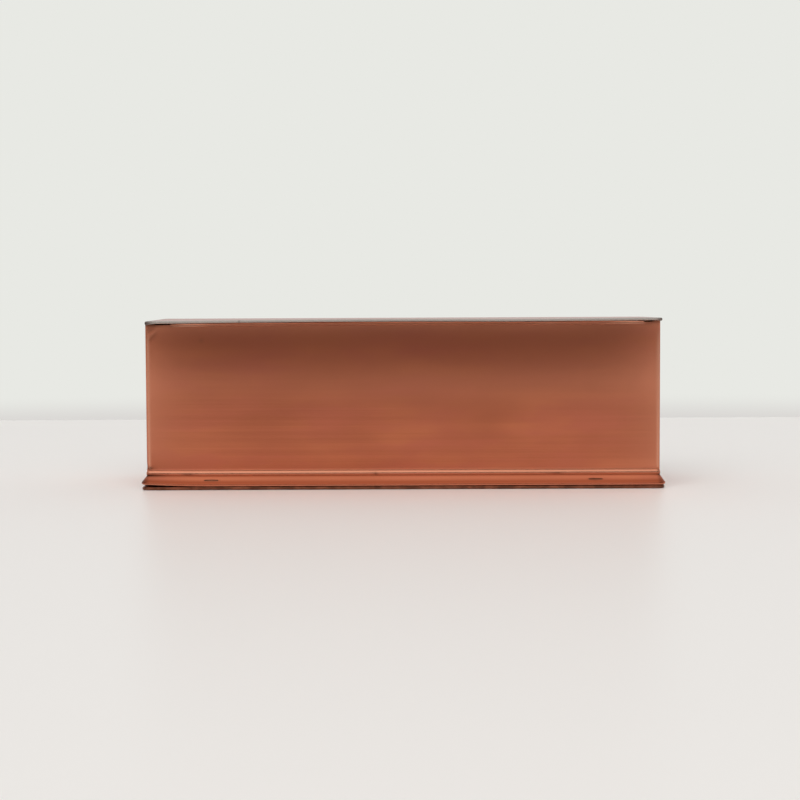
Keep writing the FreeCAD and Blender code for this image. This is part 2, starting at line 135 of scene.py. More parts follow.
# ---- node helpers -------------------------------------------------------------------
class Nodes:
    """Short hand for building a node tree."""

    def __init__(self, tree):
        self.tree = tree
        self.tree.nodes.clear()

    def add(self, kind, **settings):
        node = self.tree.nodes.new(kind)
        for key, value in settings.items():
            setattr(node, key, value)
        return node

    def feed(self, node, values):
        """Links or sets inputs of a node."""
        for name, value in values.items():
            socket = node.inputs[name]
            if isinstance(value, bpy.types.NodeSocket):
                self.tree.links.new(value, socket)
            else:
                socket.default_value = value

    def math(self, operation, a, b=0.0):
        node = self.add("ShaderNodeMath", operation=operation)
        self.feed(node, {0: a, 1: b})
        return node.outputs[0]

    def weighted(self, *parts):
        """Sum of sources, each times its weight."""
        first, *others = [self.math("MULTIPLY", source, weight) for source, weight in parts]
        for other in others:
            first = self.math("ADD", first, other)
        return first

    def ramp(self, source, low, high, out_low=0.0, out_high=1.0):
        """Smooth step from out_low to out_high, as the source goes from low to high."""
        node = self.add("ShaderNodeMapRange", interpolation_type="SMOOTHSTEP")
        limits = {"From Min": low, "From Max": high, "To Min": out_low, "To Max": out_high}
        self.feed(node, {"Value": source, **limits})
        return node.outputs["Result"]

    def mix(self, factor, a, b):
        node = self.add("ShaderNodeMix", data_type="RGBA")
        self.feed(node, {"Factor": factor, "A": a, "B": b})
        return node.outputs["Result"]

    def noise(self, vector, scale, detail, roughness):
        node = self.add("ShaderNodeTexNoise")
        self.feed(node, {"Vector": vector, "Scale": scale, "Detail": detail, "Roughness": roughness})
        return node.outputs["Fac"]

    def grain(self, vector, scales, detail, roughness):
        """Noise with a scale of its own along each axis."""
        node = self.add("ShaderNodeMapping")
        self.feed(node, {"Vector": vector, "Scale": scales})
        return self.noise(node.outputs["Vector"], 1.0, detail, roughness)


def new_material(name):
    material = bpy.data.materials.new(name)
    material.use_nodes = True
    nodes = Nodes(material.node_tree)
    shader = nodes.add("ShaderNodeBsdfPrincipled")
    output = nodes.add("ShaderNodeOutputMaterial")
    nodes.feed(output, {"Surface": shader.outputs["BSDF"]})
    return material, nodes, shader


def set_metal(nodes, shader, colour, roughness):
    nodes.feed(shader, {"Base Color": colour, "Roughness": roughness, "Metallic": 1.0})


def set_bump(nodes, shader, height, strength, distance):
    bump = nodes.add("ShaderNodeBump")
    nodes.feed(bump, {"Height": height, "Strength": strength, "Distance": distance})
    nodes.feed(shader, {"Normal": bump.outputs["Normal"]})


# ---- materials ----------------------------------------------------------------------
COPPER_FACE = (0.595, 0.183, 0.090, 1)
COPPER_DARK = (0.480, 0.142, 0.074, 1)
COPPER_ROSE = (0.555, 0.158, 0.092, 1)
# browns of the base plate and the clips: painted shade, as they lie mostly in shadow
SHADE_BROWN_DARK = (0.14, 0.055, 0.032, 1)
SHADE_BROWN_LIGHT = (0.27, 0.10, 0.058, 1)

# tints laid on a sheet, one over another, where its mesh attribute of that name says; most are
# painted highlights and shade
TINTS = {
    "haze": (0.80, 0.285, 0.165, 1),  # paler: painted light, and a paler tone on the right
    "deep": (0.34, 0.078, 0.034, 1),  # darker and redder: painted shade, and darker low on the face's left
    "wear": (0.86, 0.40, 0.26, 1),  # painted highlights
    "grey": (0.40, 0.355, 0.325, 1),  # painted pale sheen of grazing reflection
    "grime": (0.045, 0.014, 0.008, 1),  # painted shade, and a few dark marks
}


def copper(name, on_sheet=True, rough=0.25):
    """Aged satin copper with fine streaks, blotches and clouds, and a sheet's tints over them: mostly
    painted highlights and shade.
    """
    material, nodes, shader = new_material(name)
    if on_sheet:
        coords = nodes.add("ShaderNodeUVMap", uv_map="sheet").outputs["UV"]
    else:
        coords = nodes.add("ShaderNodeTexCoord").outputs["Object"]

    def streaks(along, across, detail, roughness):
        return nodes.grain(coords, (along, across, 1 if on_sheet else across), detail, roughness)

    fine = streaks(4, 900, 1.0, 0.5)
    broad = streaks(3, 110, 1.0, 0.5)
    blotch = streaks(12, 28, 2.0, 0.45)
    cloud = streaks(16, 60, 3.0, 0.55)
    tone = nodes.weighted((fine, 0.20), (broad, 0.30), (blotch, 0.50))
    warm = nodes.mix(nodes.ramp(cloud, 0.36, 0.64), COPPER_ROSE, COPPER_FACE)
    colour = nodes.mix(nodes.ramp(tone, 0.36, 0.62), COPPER_DARK, warm)
    if on_sheet:
        for tint, tint_colour in TINTS.items():
            amount = nodes.add("ShaderNodeAttribute", attribute_name=tint).outputs["Fac"]
            colour = nodes.mix(amount, colour, tint_colour)
    set_metal(nodes, shader, colour, nodes.ramp(tone, 0.35, 0.65, rough + 0.02, rough - 0.01))
    set_bump(nodes, shader, fine, 0.03, 0.02 * MM)
    return material


def painted_shade_copper(name):
    """Dark brown copper: painted shade on the base plate and the clips, which lie mostly in shadow.
    """
    material, nodes, shader = new_material(name)
    coords = nodes.add("ShaderNodeTexCoord").outputs["Object"]
    cloud = nodes.noise(coords, 90.0, 4.0, 0.6)
    colour = nodes.mix(nodes.ramp(cloud, 0.35, 0.65), SHADE_BROWN_DARK, SHADE_BROWN_LIGHT)
    set_metal(nodes, shader, colour, nodes.ramp(cloud, 0.3, 0.7, 0.42, 0.30))
    return material


def plain_metal(name, low, high, rough, grain=(40, 900, 900)):
    """Satin metal with a faint grain between two tones."""
    material, nodes, shader = new_material(name)
    coords = nodes.add("ShaderNodeTexCoord").outputs["Object"]
    fine = nodes.grain(coords, grain, 3.0, 0.6)
    cloud = nodes.noise(coords, 120.0, 4.0, 0.6)
    tone = nodes.weighted((fine, 0.5), (cloud, 0.5))
    colour = nodes.mix(nodes.ramp(tone, 0.35, 0.65), low, high)
    set_metal(nodes, shader, colour, nodes.ramp(tone, 0.3, 0.7, rough + 0.08, rough - 0.05))
    set_bump(nodes, shader, fine, 0.3, 0.03 * MM)
    return material


# ---- curves of numbers --------------------------------------------------------------
def clamped(value):
    """The value, kept between 0 and 1."""
    return max(0.0, min(1.0, value))


def bump_at(value, centre, width):
    """1 at the centre, falling smoothly to 0 over a few widths."""
    return math.exp(-(((value - centre) / width) ** 2))


def near(distance, width):
    """1 at no distance, falling to 0 over a few widths."""
    return math.exp(-max(0.0, distance) / width)


def fading(value, centre, width):
    """1 well below the centre, falling smoothly to 0 above it."""
    return 1 / (1 + math.exp((value - centre) / width))


def between(x, table):
    """Value at x in a table of (x, value) steps, in a straight line from step to step."""
    if x <= table[0][0]:
        return table[0][1]
    for (x0, v0), (x1, v1) in zip(table, table[1:]):
        if x < x1:
            return v0 + (v1 - v0) * (x - x0) / (x1 - x0)
    return table[-1][1]


# ---- mesh helpers -------------------------------------------------------------------
class Column:
    """One place on a path round the box, from which a profile goes out by the way out.

    zone is front, corner, side, rear or tail. inset is how far the place is from the nearest front
    corner's bend, and along is how far it is along the flat sheet.
    """

    def __init__(self, x, y, out, zone, inset, along):
        self.x, self.y, self.out = x, y, out
        self.zone, self.inset, self.along = zone, inset, along


def spaced(length, step, fine_step, fine_length):
    """Distances from 0 to length, closer together near both ends."""
    places = [0.0]
    while places[-1] < length / 2:
        near_end = places[-1] < fine_length
        places.append(places[-1] + (fine_step if near_end else step))
    half = [p for p in places if p < length / 2 - fine_step / 2]
    return half + [length / 2] + [length - p for p in reversed(half)]


def with_marks(places, marks):
    """Puts the marks among the places, and drops the places that crowd them."""
    clear = [p for p in places if all(abs(p - m) > 0.25 * MM for m in marks)]
    return sorted(clear + list(marks))


def round_the_front(half, face_y, rear_y, radius, steps, corner_steps=8, ys=(), xs=()):
    """Columns from the right side's rear, round the front, to the left side's rear.

    steps are what spaced() takes after the length. There are extra columns at ys and xs.
    """
    side_length = rear_y - face_y - radius
    front_length = 2 * (half - radius)
    side = with_marks(spaced(side_length, *steps), [rear_y - y for y in ys])
    front = with_marks(spaced(front_length, *steps), [half - radius - x for x in xs])
    turn = [i * math.pi / 2 / corner_steps for i in range(1, corner_steps)]
    bend = radius * math.pi / 2
    columns = [Column(half, rear_y - d, (1, 0), "side", side_length - d, d) for d in side]
    for a in turn:
        out = (math.cos(a), -math.sin(a))
        at = (half - radius + radius * out[0], face_y + radius + radius * out[1])
        columns.append(Column(*at, out, "corner", 0.0, side_length + radius * a))
    start = side_length + bend
    for d in front:
        x = half - radius - d
        columns.append(Column(x, face_y, (0, -1), "front", min(d, front_length - d), start + d))
    start += front_length
    for a in turn:
        out = (-math.sin(a), -math.cos(a))
        at = (-half + radius + radius * out[0], face_y + radius + radius * out[1])
        columns.append(Column(*at, out, "corner", 0.0, start + radius * a))
    start += bend
    for d in reversed(side):
        inset = side_length - d
        columns.append(Column(-half, rear_y - d, (-1, 0), "side", inset, start + inset))
    return columns


def rounded(points, radii, turn_step=math.radians(14)):
    """Polyline through the points with its inner corners rounded."""
    path = [Vector(points[0])]
    for p, corner, q, radius in zip(points, points[1:], points[2:], radii):
        corner = Vector(corner)
        u = (corner - Vector(p)).normalized()
        v = (Vector(q) - corner).normalized()
        turn = math.atan2(u.x * v.y - u.y * v.x, u.dot(v))
        hand = math.copysign(1, turn)
        start = corner - u * radius * math.tan(abs(turn) / 2)
        centre = start + Vector((-u.y, u.x)) * radius * hand
        steps = max(2, round(abs(turn) / turn_step))
        for i in range(steps + 1):
            path.append(centre + Matrix.Rotation(turn * i / steps, 2) @ (start - centre))
    path.append(Vector(points[-1]))
    return path


def split_long(path, step):
    """Adds points on the long runs of a polyline."""
    result = [path[0]]
    for p, q in zip(path, path[1:]):
        pieces = max(1, math.ceil((q - p).length / step))
        result += [p.lerp(q, i / pieces) for i in range(1, pieces + 1)]
    return result


def with_heights(path, heights):
    """Adds points where a rising polyline crosses the heights."""
    result = [path[0]]
    for p, q in zip(path, path[1:]):
        result += [p.lerp(q, (h - p.y) / (q.y - p.y)) for h in heights if p.y < h < q.y]
        result.append(q)
    return result


def path_ways(path):
    """Unit normals of a polyline, to the right of its direction."""
    ways = []
    for i in range(len(path)):
        u = (path[min(i + 1, len(path) - 1)] - path[max(i - 1, 0)]).normalized()
        ways.append(Vector((u.y, -u.x)))
    return ways


class Skin:
    """The middle surface of a sheet, as quads.

    Each point knows the way out, its place on the flat sheet, and how much of each tint it has.
    """

    def __init__(self):
        self.points, self.ways, self.flat, self.tints, self.quads = [], [], [], [], []

    def add(self, point, way, flat, **tints):
        self.points.append(Vector(point))
        self.ways.append(Vector(way).normalized())
        self.flat.append(flat)
        self.tints.append(tints)

    def merged(self):
        """Index of the first point at each point's place."""
        seen = {}
        return [seen.setdefault(tuple(round(c, 6) for c in p), i) for i, p in enumerate(self.points)]

    def faces(self):
        """Faces of both sides and of the open edges. The outer side's points come first."""
        count = len(self.points)
        same = self.merged()
        faces = []
        open_edges = {}
        for quad in self.quads:
            ring = [i for k, i in enumerate(quad) if same[i] != same[quad[k - 1]]]
            if len(ring) < 3:
                continue
            faces.append([same[i] for i in ring])
            faces.append([same[i] + count for i in reversed(ring)])
            for k, i in enumerate(ring):
                edge = (same[ring[k - 1]], same[i])
                if open_edges.pop((edge[1], edge[0]), None) is None:
                    open_edges[edge] = True
        return faces + [[end, start, start + count, end + count] for start, end in open_edges]

    def mesh(self, name, thickness):
        """Closed mesh of that thickness about the middle surface."""
        count = len(self.points)
        outer = [p + w * thickness / 2 for p, w in zip(self.points, self.ways)]
        inner = [p - w * thickness / 2 for p, w in zip(self.points, self.ways)]
        mesh = bpy.data.meshes.new(name)
        mesh.from_pydata(outer + inner, [], self.faces())
        layer = mesh.uv_layers.new(name="sheet")
        for loop in mesh.loops:
            layer.data[loop.index].uv = self.flat[loop.vertex_index % count]
        for tint in TINTS:
            attribute = mesh.attributes.new(tint, "FLOAT", "POINT")
            sides = 1 if tint == "grey" else 2  # only the outer side gets the painted sheen
            for i in range(sides * count):
                attribute.data[i].value = self.tints[i % count].get(tint, 0.0)
        work = bmesh.new()
        work.from_mesh(mesh)
        bmesh.ops.delete(work, geom=[v for v in work.verts if not v.link_faces], context="VERTS")
        bmesh.ops.recalc_face_normals(work, faces=work.faces)
        work.to_mesh(mesh)
        work.free()
        for polygon in mesh.polygons:
            polygon.use_smooth = True
        mesh.set_sharp_from_angle(angle=math.radians(50))
        return mesh


def assembled(name, mesh, material, body, replaces):
    """Puts a finished mesh into the assembly in place of a CAD node."""
    obj = bpy.data.objects.new(name, mesh)
    bpy.context.scene.collection.objects.link(obj)
    obj.data.materials.append(material)
    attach(obj, body)
    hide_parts(replaces)
    return obj


# ---- how the sheets stray from true -------------------------------------------------
PILLOW_FRONT = 1.5 * MM  # how far the face bulges
PILLOW_SIDE = 0.7 * MM
PILLOW_EDGE = 0.16  # share of the wall's length over which the bulge rises
PILLOW_WAVES = 0.06 * MM
CREASE_DEPTH = 0.14 * MM
LOW_DENT_DEPTH = 0.35 * MM
CURL_REACH = 40 * MM
CURL_LIP = 0.85 * MM
CURL_BEAD = 0.45 * MM
HEM_DROOP = 0.4 * MM
CORNER_RISE = 0.8 * MM  # how much higher the wall is at the front corners, where it has no hem
LID_SAG = 0.3 * MM
LEFT_TRIM = 1.1 * MM
LEFT_TRIM_REACH = 0.2  # share of the lid's half width

# how far the lid's front edge hangs, as (x, drop) in mm
EDGE_DROPS = [
    (-185, 1.45), (-172, 1.35), (-144, 1.20), (-110, 0.90), (-73, 0.72), (-30, 0.56), (0, 0.50),
    (35, 0.62), (69, 0.80), (105, 0.78), (140, 0.64), (165, 0.36), (185, 0.28),
]


def forward(y):
    """0 on the rear strip of the lid, rising to 1 at its front edge."""
    flat_front = LID_HIGH.y - LID_FLAT_REAR
    return clamped((flat_front - y) / (flat_front - LID_LOW.y))


def edge_drop(x, y):
    """How far the lid's edge, and the rim under it, hang below their true height."""
    drop = between(x / MM, EDGE_DROPS) + 0.05 * noise.noise(Vector((x * 14, y * 20, 1.3)))
    return forward(y) * drop * MM


def lid_bow(x, y):
    """How far the lid is from flat: it sags between its stiff edges, which hang too."""
    across = 1 - (x / LID_HIGH.x) ** 2
    sag = LID_SAG * math.sin(math.pi * forward(y)) * max(0.0, across)
    return -sag - edge_drop(x, y)


def trim(x):
    """How far the lid's left edge is cut short."""
    reach = LEFT_TRIM_REACH
    return LEFT_TRIM * max(0.0, -x / LID_HIGH.x - (1 - reach)) / reach


def pillow(column, z):
    """How far the plain wall bulges."""
    up = (z - WALL_FOOT) / (RIM_WALL_TOP - WALL_FOOT)
    if not 0 < up < 1:
        return 0.0
    rise = 4 * up * (1 - up)
    front = column.zone == "front"
    length = 2 * (HALF - CORNER) if front else REAR_Y - FACE_Y - CORNER
    amount = PILLOW_FRONT if front else PILLOW_SIDE
    along = math.sin(min(1.0, column.inset / (PILLOW_EDGE * length)) * math.pi / 2)
    waves = noise.noise(Vector((column.along * 9, z * 24, 3.7))) * PILLOW_WAVES
    return (amount * rise + waves * min(1.0, rise * 2)) * along


def crease(column, z):
    """How far out the short crease near the top left corner and the dent low on the left bend are."""
    fold = 0.0
    if column.zone == "front":
        place = Vector((column.x, z)) - CREASE_TOP
        down = place.dot(CREASE_RUN)
        across = place.x * CREASE_RUN.y - place.y * CREASE_RUN.x
        fold = bump_at(across, 0, 1.3 * MM) * bump_at(down, 4.1 * MM, 4 * MM)
    low = bump_at(z, LOW_DENT_Z, 2 * MM) * bump_at(column.x, -HALF, 4 * MM)
    low *= bump_at(column.y, FACE_Y, 3 * MM)
    return -CREASE_DEPTH * fold - LOW_DENT_DEPTH * low


def top_shift(column, z):
    """The wall's top follows the lid's edge, and rises to it where the front corners have no hem."""
    near_top = max(0.0, 1 - (RIM_WALL_TOP - z) / (8 * MM))
    rise = CORNER_RISE * bump_at(column.inset, 0, 3 * MM)
    if column.zone == "rear" or (column.zone == "side" and column.y > 0):
        rise = 0.0
    return near_top * (rise - edge_drop(column.x, column.y))


def lip_curl(column, z):
    """How far the foot's left end curls up, the lip most."""
    if column.zone in ("rear", "tail") or column.x > CURL_REACH - HALF:
        return 0.0
    along = (CURL_REACH - HALF - column.x) / CURL_REACH
    if column.zone == "side":
        along = bump_at(column.inset, 0, 20 * MM)
    lip = clamped((GROOVE_Z - z) / (GROOVE_Z - 3.5 * MM))
    bead = clamped((WALL_FOOT - z) / (WALL_FOOT - BEAD_Z))
    return CURL_LIP * along ** 2 * lip + CURL_BEAD * along * bead


def hem_stop(column):
    """How far from the front corner the front rim's hem stops."""
    return HEM_STOP_LEFT if column.x < 0 else HEM_STOP_RIGHT


def has_hem(column):
    if column.zone == "front":
        return abs(column.x) < HALF - hem_stop(column)
    if column.zone == "side":
        return FACE_Y + SIDE_HEM_STOP < column.y < EAR_FRONT - 0.5 * MM
    return False


def hem_droop(column):
    """The fold isn't quite full at its ends, so its crest falls there."""
    if column.zone != "front":
        return 0.0
    return HEM_DROOP * near(HALF - hem_stop(column) - abs(column.x), 6 * MM)


# ---- tints of the body wrap: mostly painted highlights and shade --------------------
# heights on the foot and the face where the tints change
BEAD_CREST_Z = 12.2 * MM
GROOVE_DARK_Z = 9.9 * MM
FLARE_MIDDLE_Z = 6.5 * MM
FLARE_SHADE_Z = 4.9 * MM
LIP_TIP_Z = 4.5 * MM
LIP_CREST_Z = 2.8 * MM
FACE_TOP_Z = 101 * MM
FACE_RIGHT_Z = 84 * MM
FACE_MIDDLE_Z = 76 * MM
FACE_LOW_Z = 14 * MM

# dark marks on the front, spots and blotches and some painted shade: strength, x, z, half width, half
# height
FOOT_MARKS = [
    (0.6, -152.8 * MM, 10.8 * MM, 3.2 * MM, 0.8 * MM),
    (0.5, 108.5 * MM, 11.0 * MM, 5.0 * MM, 0.6 * MM),
    (0.6, GROOVE_MARK_X, 10.9 * MM, 0.8 * MM, 1.1 * MM),
]
WALL_MARKS = [
    (0.6, DOT_X, DOT_Z, 0.8 * MM, 0.8 * MM),
    (0.10, -75 * MM, 57 * MM, 32 * MM, 6 * MM),
    (0.08, 5 * MM, 64 * MM, 30 * MM, 7 * MM),
    # painted shade at the top left corner, under the lid's corner
    (0.35, 4 * MM - HALF, 115 * MM, 4 * MM, 5 * MM),
    (0.25, -HALF, 15.5 * MM, 5 * MM, 3 * MM),
]


def stripe(column, x, half_width):
    """1 at a place across the front, falling smoothly to 0 beside it."""
    if column.zone not in ("front", "corner") or column.out[1] > -0.3:
        return 0.0
    return bump_at(column.x, x, half_width)


def spot(column, z, x, height, half_width, half_height):
    """1 at a place on the front, falling smoothly to 0 round it."""
    return stripe(column, x, half_width) * bump_at(z, height, half_height)


def spots(column, z, marks):
    """How strong a table's marks are at a place."""
    return sum(strength * spot(column, z, *place) for strength, *place in marks)


def wrap_wear(column, kind, z):
    """Painted highlights on the bead, the lip, the rim, the upright bends and the crease."""
    uneven = 0.5 + 0.5 * noise.noise(Vector((column.along * 40, z * 60, 9.1)))
    if kind == "foot":
        bead = bump_at(z, BEAD_CREST_Z, 0.8 * MM)
        lip = 0.8 * bump_at(z, LIP_CREST_Z, 0.8 * MM)
        return clamped((bead + lip) * (0.75 + 0.25 * uneven))
    if kind == "hem":
        ends = stripe(column, -152 * MM, 13 * MM) + stripe(column, 160 * MM, 14 * MM)
        return clamped(0.08 + 0.25 * uneven + 0.6 * ends)
    inwards = 2.1 * MM if column.x < 0 else 1.7 * MM
    bend = bump_at(abs(column.x), HALF - inwards, 0.85 * MM) if column.out[1] < -0.4 else 0.0
    below_rim = 1 - bump_at(z, RIM_WALL_TOP, 9 * MM)
    crease_line = stripe(column, CREASE_LINE_X + CREASE_LEAN * (z - CREASE_LINE_Z), 0.6 * MM)
    crease_line *= bump_at(z, CREASE_LINE_Z, 3.5 * MM)
    return clamped(bend * below_rim * (0.7 + 0.3 * uneven) + 0.4 * crease_line)


def wrap_shade_and_grime(column, kind, z):
    """Painted shade in the groove, the slots, at the corners, under the rim and along the front's
    edges, and the marks on the front.
    """
    from_left = max(0.0, column.x + HALF)
    from_right = max(0.0, HALF - column.x)
    if kind == "foot":
        groove = bump_at(z, GROOVE_DARK_Z, 1.1 * MM)
        if column.zone in ("side", "tail"):
            return 0.3 * groove
        left = 0.75 * bump_at(from_left, 0, 13 * MM) + 0.2 * near(from_left, 22 * MM)
        right = 0.7 * near(from_right, 3 * MM)
        rough = 0.8 + 0.6 * noise.noise(Vector((column.along * 500, 2.2, 0.4)))
        slots = sum(spot(column, z, x, SLOT_Z, 4 * MM, 0.75 * MM) for x in (-SLOT_X, SLOT_X))
        tip = 0.85 * bump_at(z, LIP_TIP_Z, 2.5 * MM) * near(from_left, 0.8 * MM)
        ends = 0.20 * near(from_left, 20 * MM) + 0.18 * near(from_right, 14 * MM)
        ends *= bump_at(z, FLARE_MIDDLE_Z, 3 * MM)
        marks = spots(column, z, FOOT_MARKS) + 0.6 * rough * slots
        return clamped(groove * (left + right) + marks + tip + ends)
    if kind == "hem":
        return 0.6 * near(from_left - 15 * MM, 7 * MM)
    edge = 0.0 if column.zone == "side" else 0.45 * bump_at(abs(column.x), HALF, 0.4 * MM)
    under_rim = 0.55 * bump_at(z, RIM_WALL_TOP, 1.8 * MM)
    corners = bump_at(from_left, 0, 17 * MM) + bump_at(from_right, 0, 12 * MM)
    return clamped(under_rim * corners + edge + spots(column, z, WALL_MARKS))


def wrap_deep(column, kind, z):
    """Darker, redder metal: painted shade in the groove, low on the flare and on the rim; darker low
    on the face's left.
    """
    if kind == "foot":
        groove = 0.9 * bump_at(z, GROOVE_DARK_Z, 1.2 * MM)
        return clamped(groove + 1.1 * bump_at(z, FLARE_SHADE_Z, 1.8 * MM))
    if kind == "hem":
        return 0.35 * bump_at(column.x, 20 * MM, 120 * MM)
    if kind == "wall" and column.zone in ("front", "corner"):
        leftward = 0.30 * fading(column.x, 10 * MM, 20 * MM) + 0.35 * near(column.x + HALF, 12 * MM)
        return leftward * bump_at(z, FACE_LOW_Z, 11 * MM)
    return 0.0


def wrap_haze(column, kind, z):
    """Paler metal: painted light across the face's upper middle, at its ends, below the rim and over
    the bead's top; paler on its right.
    """
    if kind == "foot":
        return 0.6 * bump_at(z, BEAD_TOP + 0.1 * MM, 1.1 * MM)
    if kind != "wall" or column.zone == "rear":
        return 0.0
    front = column.zone == "front"
    middle = 0.30 * bump_at(z, FACE_MIDDLE_Z, 14 * MM)
    ends = 0.65 * (near(column.inset, 16 * MM) if front else 1.0)
    right = max(0.0, column.x / HALF - 0.25) if front else 0.0
    right *= 0.35 * bump_at(z, FACE_RIGHT_Z, 26 * MM) + 0.2 * bump_at(z, FACE_LOW_Z, 8 * MM)
    rim = 0.6 * bump_at(z, RIM_WALL_TOP, 7 * MM)
    below_top = 0.3 + 0.7 * fading(z, FACE_TOP_Z, 4 * MM)
    cloud = 0.5 + 0.5 * noise.noise(Vector((column.along * 9, z * 30, 5.5)))
    return clamped((middle + ends) * below_top * (0.75 + 0.5 * cloud) + right + rim)


# ---- body wrap ----------------------------------------------------------------------
def foot_profile():
    """Middle line of the sheet from the turned-in flange up to the plain wall, as (out, z)."""
    points = [
        (-FLANGE_REACH, LIP_FLANGE_Z),
        (FLARE_FOOT, LIP_FLANGE_Z),
        (GROOVE_OUT, GROOVE_Z),
        (BEAD_OUT, BEAD_Z),
        (-T2, BEAD_TOP),
        (-T2, WALL_FOOT),
    ]
    path = rounded(points, FOOT_RADII)
    heights = [SLOT_Z + d * SLOT_RISE for d in (-1, -SLOT_BLUNT, SLOT_BLUNT, 1)]
    return split_long(with_heights(path, heights), FOOT_STEP)


def wall_heights():
    rises = spaced(RIM_WALL_TOP - WALL_FOOT, *WALL_STEPS)[1:]
    marks = [FLANGE_TOP, BACK_TOP, DOT_Z - DOT_HALF, DOT_Z, DOT_Z + DOT_HALF]
    return [WALL_FOOT + d for d in with_marks(rises, [z - WALL_FOOT for z in marks])]


def hem_profile():
    """The rim's fold above the wall, as (distance out of the wall's middle, z)."""
    far = 2 * RIM_HEM
    points = [(0, RIM_WALL_TOP), (0, RIM_Z - T2), (far, RIM_Z - T2), (far, RIM_Z - RIM_HEM_DROP)]
    return split_long(rounded(points, [RIM_HEM, RIM_HEM], math.radians(22)), HEM_STEP)[1:]


def wrap_columns():
    """The wrap's columns, and the pairs of them that sheet joins."""
    ends = (-SLOT_HALF, SLOT_CUT - SLOT_HALF, SLOT_HALF - SLOT_CUT, SLOT_HALF)
    xs = [side * SLOT_X + end for side in (-1, 1) for end in ends]
    xs += [x + d for x in (DOT_X, GROOVE_MARK_X) for d in (-DOT_HALF, 0, DOT_HALF)]
    ys = (REAR_Y - CORNER, EAR_REAR, EAR_FRONT)
    columns = round_the_front(HALF, FACE_Y, REAR_Y, CORNER, WRAP_STEPS, ys=ys, xs=xs)
    columns = [c for c in columns if c.zone != "side" or c.y <= REAR_Y - CORNER]
    first, last = columns[0], columns[-1]
    rear = [
        Column(x, REAR_Y, (0, 1), "rear", 0.0, x - HALF)
        for x in (HALF - SHEET - REAR_FLANGE, HALF - CORNER - 6 * MM)
    ]
    for i in range(REAR_TURNS):
        a = math.pi / 2 * (1 - i / REAR_TURNS)
        out = (math.cos(a), math.sin(a))
        at = (HALF - CORNER + CORNER * out[0], REAR_Y - CORNER + CORNER * out[1])
        rear.append(Column(*at, out, "rear", 0.0, -CORNER * a))
    mirrored = [
        Column(-c.x, c.y, (-c.out[0], c.out[1]), "rear", 0.0, last.along - c.along)
        for c in reversed(rear)
    ]
    tails = [
        Column(side * HALF, REAR_Y, (side, 0), "tail", CORNER, end.along)
        for side, end in ((1, first), (-1, last))
    ]
    joined = rear + columns + mirrored
    return joined + tails, list(zip(joined, joined[1:])) + [(tails[0], first), (last, tails[1])]


def in_sheet(a, b, kind, z):
    """Is there sheet between two neighbouring columns at height z?"""
    zones = {a.zone, b.zone}
    x, y = abs(a.x + b.x) / 2, (a.y + b.y) / 2
    if kind == "foot":
        rise = abs(z - SLOT_Z)
        slot_half = SLOT_HALF - (SLOT_CUT if rise > SLOT_BLUNT * SLOT_RISE else 0)
        in_slot = "front" in zones and rise < SLOT_RISE and abs(x - SLOT_X) < slot_half
        return "rear" not in zones and not in_slot
    if kind == "wall":
        if x < HALF - CORNER and "rear" in zones:
            return z < FLANGE_TOP
        return "tail" not in zones and (z < BACK_TOP or y < EAR_REAR)
    if kind == "ear":
        return "side" in zones and EAR_FRONT < y < EAR_REAR
    return has_hem(a) and has_hem(b)


def wrap_mesh():
    columns, pairs = wrap_columns()
    foot = foot_profile()
    wall = [Vector((-T2, z)) for z in wall_heights()]
    hem = hem_profile()
    ear = [Vector((-T2, EAR_TOP))]
    heights = [p.y for p in foot + wall + hem + ear]
    kinds = ["foot"] * len(foot) + ["wall"] * len(wall) + ["hem"] * len(hem) + ["ear"]
    wall_top = len(foot) + len(wall) - 1
    skin = Skin()
    for column in columns:
        travelled = 0.0
        fold = 1 if column.zone == "front" else -1  # out over the front, in over the sides
        path = foot + wall + [Vector((p.x * fold - T2, p.y)) for p in hem] + ear
        ways = path_ways(path[:-1]) + [Vector((1, 0))]
        if not has_hem(column):
            ways[wall_top] = Vector((1, 0))
        for i, (p, kind, way) in enumerate(zip(path, kinds, ways)):
            out, z = p
            if kind == "foot":
                out = max(out, -MITRE - column.inset)
                z += lip_curl(column, z)
            elif kind == "wall":
                out += pillow(column, z) + crease(column, z)
                z += top_shift(column, z)
            elif kind == "hem":
                z += HEM_LIFT - hem_droop(column) - edge_drop(column.x, column.y)
            travelled += (p - path[max(i - 1, 0)]).length
            skin.add(
                (column.x + column.out[0] * out, column.y + column.out[1] * out, z),
                (column.out[0] * way.x, column.out[1] * way.x, way.y),
                (column.along, travelled),
                # the tints: painted highlights and shade, with a few real marks and tones
                wear=wrap_wear(column, kind, p.y),
                grime=wrap_shade_and_grime(column, kind, p.y),
                haze=wrap_haze(column, kind, p.y),
                deep=wrap_deep(column, kind, p.y),
            )
    count = len(kinds)
    place = {id(column): i for i, column in enumerate(columns)}
    for one, other in pairs:
        a, b = place[id(one)] * count, place[id(other)] * count
        for j in range(1, count):
            below = wall_top if kinds[j] == "ear" else j - 1
            if in_sheet(one, other, kinds[j], (heights[below] + heights[j]) / 2):
                skin.quads.append((a + below, a + j, b + j, b + below))
    return skin.mesh("body_wrap_sheet", SHEET)


# ---- lid ----------------------------------------------------------------------------
def lid_mesh():
    top = LID_HIGH.z - T2 - LID_BELOW_RIVETS
    nose = LID_HEM + T2
    half, front, rear = LID_HIGH.x - nose, LID_LOW.y + nose, LID_HIGH.y
    dent_xs = [LID_MARK_X - LID_MARK_HALF, LID_MARK_X, LID_MARK_X + LID_MARK_HALF]
    stop = rear - LID_SIDE_STOP
    columns = round_the_front(half, front, stop, LID_CORNER, LID_STEPS, corner_steps=6, xs=dent_xs)
    skin = Skin()
    add_lid_edge(skin, columns, top, half, front)
    xs = [c.x for c in columns if c.zone == "front"]
    ys = sorted({c.y for c in columns if c.zone == "side" and c.x > 0} | {rear})
    add_lid_top(skin, xs, ys, top, front)
    return skin.mesh("lid_sheet", SHEET)


